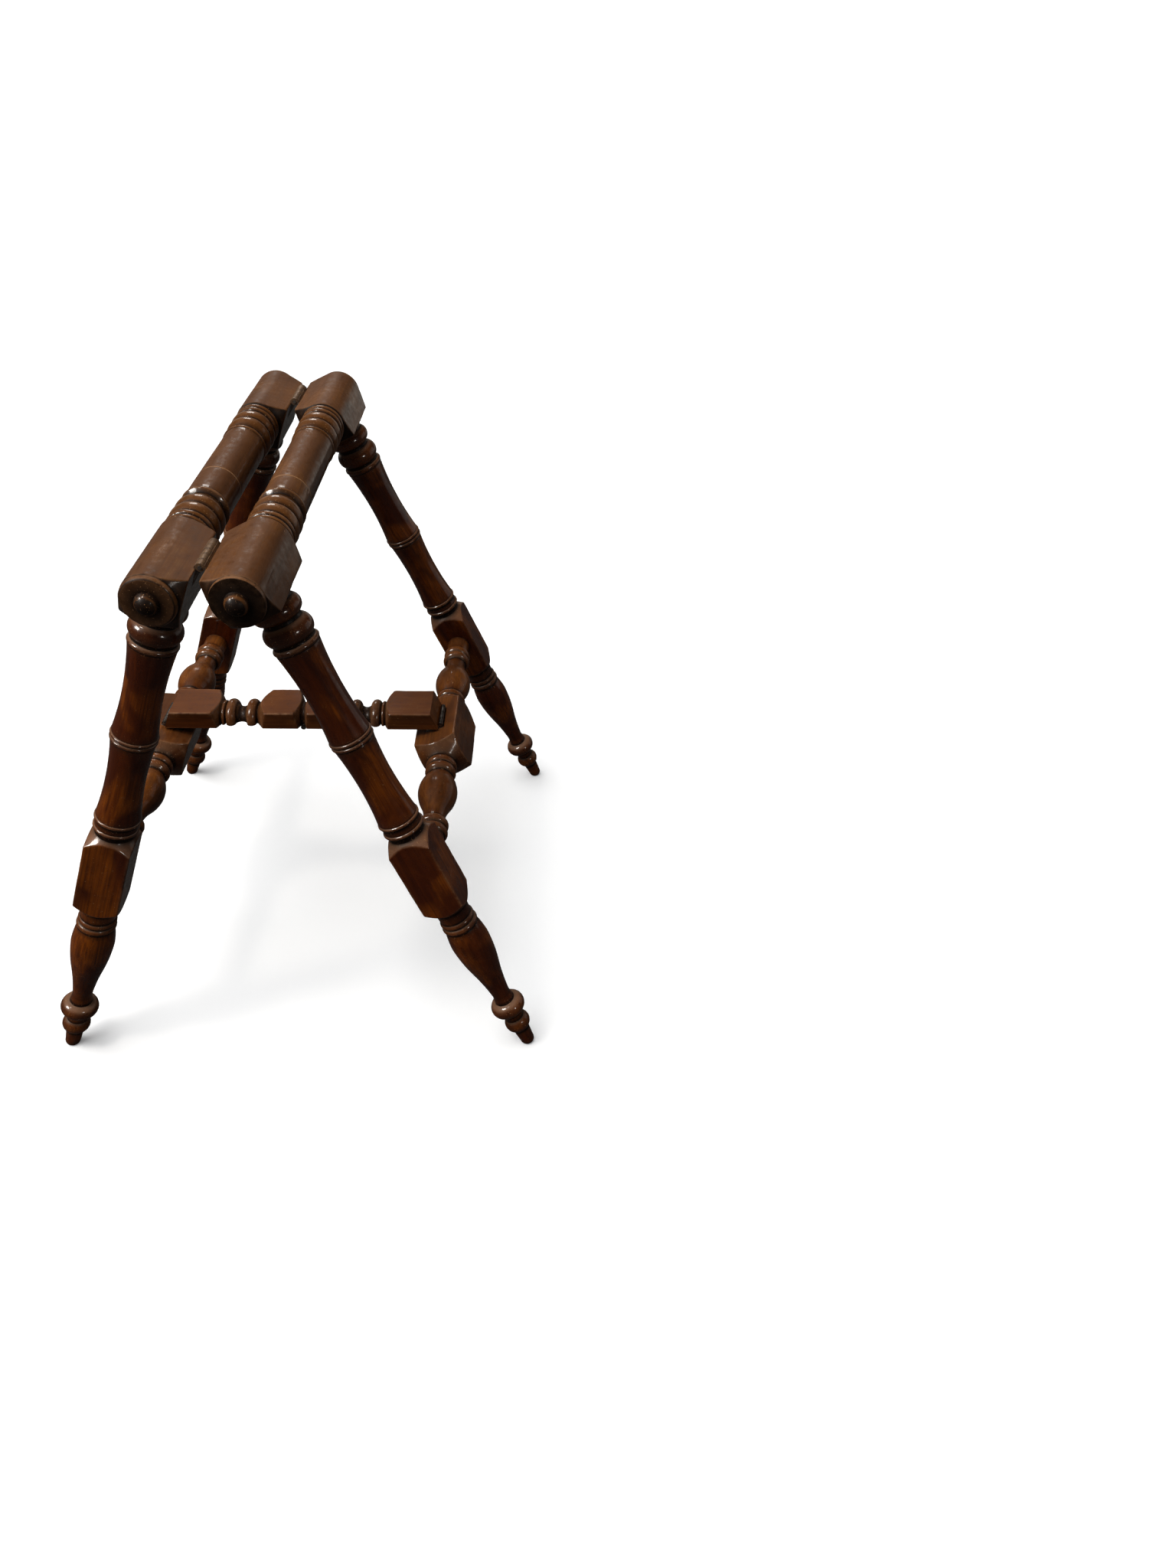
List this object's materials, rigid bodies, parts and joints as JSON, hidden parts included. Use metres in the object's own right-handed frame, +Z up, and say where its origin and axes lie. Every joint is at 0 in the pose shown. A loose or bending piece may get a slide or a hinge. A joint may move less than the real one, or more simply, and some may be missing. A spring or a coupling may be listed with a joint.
{
  "type": "folding sawhorse trestle",
  "caption": "Folding turned-wood sawhorse: a pair of A-frames with square-ended baluster rails hinged at the top and a hinged two-part cross stay that holds them apart.",
  "frame": {"origin": "on the floor, midway between the four feet", "axes": "+X across the trestle from the left frame to the right, +Y along the top rails from front to back, +Z up"},
  "size_m": [0.5594, 0.5468, 0.6245],
  "materials": {
    "rail_wood": "worn reddish-brown stain, satin",
    "leg_wood": "dark reddish-brown stain under semi-gloss varnish",
    "stretcher_wood": "reddish-brown stain under semi-gloss varnish",
    "stay_wood": "reddish-brown stain, satin",
    "top_hinge_brass": "aged brass",
    "stay_hinge_iron": "dark tarnished steel",
    "hinge_pin": "worn steel",
    "screw_brass": "aged brass",
    "screw_steel": "dulled steel"
  },
  "bodies": {
    "frame_left": {"end_hinge_left_leaf_frame": "stay_hinge_iron", "end_hinge_left_pin": "hinge_pin", "end_hinge_left_screws_frame": "screw_steel", "leg_back_left": "leg_wood", "leg_front_left": "leg_wood", "side_stretcher_left": "stretcher_wood", "top_hinge_leaf_back_left": "top_hinge_brass", "top_hinge_leaf_front_left": "top_hinge_brass", "top_hinge_pin_ends_back": "hinge_pin", "top_hinge_pin_ends_front": "hinge_pin", "top_hinge_screws_back_left": "screw_brass", "top_hinge_screws_front_left": "screw_brass", "top_rail_left": "rail_wood"},
    "stay_left": {"cross_stay_left": "stay_wood", "end_hinge_left_leaf_stay": "stay_hinge_iron", "end_hinge_left_screws_stay": "screw_steel", "middle_hinge_leaf_left": "stay_hinge_iron", "middle_hinge_pin": "hinge_pin", "middle_hinge_screws_left": "screw_steel"},
    "stay_right": {"cross_stay_right": "stay_wood", "end_hinge_right_leaf_stay": "stay_hinge_iron", "end_hinge_right_screws_stay": "screw_steel", "middle_hinge_leaf_right": "stay_hinge_iron", "middle_hinge_screws_right": "screw_steel"},
    "frame_right": {"end_hinge_right_leaf_frame": "stay_hinge_iron", "end_hinge_right_pin": "hinge_pin", "end_hinge_right_screws_frame": "screw_steel", "leg_back_right": "leg_wood", "leg_front_right": "leg_wood", "side_stretcher_right": "stretcher_wood", "top_hinge_leaf_back_right": "top_hinge_brass", "top_hinge_leaf_front_right": "top_hinge_brass", "top_hinge_pin_core_back": "hinge_pin", "top_hinge_pin_core_front": "hinge_pin", "top_hinge_screws_back_right": "screw_brass", "top_hinge_screws_front_right": "screw_brass", "top_rail_right": "rail_wood"}
  },
  "joints": [
    {"name": "stay_end_left", "type": "hinge", "parent": "frame_left", "child": "stay_left", "pos_m": [-0.1649, 0, 0.2985], "axis": [0, -1, 0], "range_deg": [0, 57.02]},
    {"name": "stay_middle", "type": "hinge", "parent": "stay_left", "child": "stay_right", "pos_m": [0, 0, 0.2938], "axis": [0, 1, 0], "range_deg": [0, 156.95]},
    {"name": "stay_end_right", "type": "hinge", "parent": "stay_right", "child": "frame_right", "pos_m": [0.1649, 0, 0.2985], "axis": [0, -1, 0], "range_deg": [0, 57.02]}
  ],
  "couplings": [
    {"joint": "stay_end_left", "follows": "stay_middle", "ratio": 0.36301},
    {"joint": "stay_end_right", "follows": "stay_middle", "ratio": 0.36301}
  ]
}
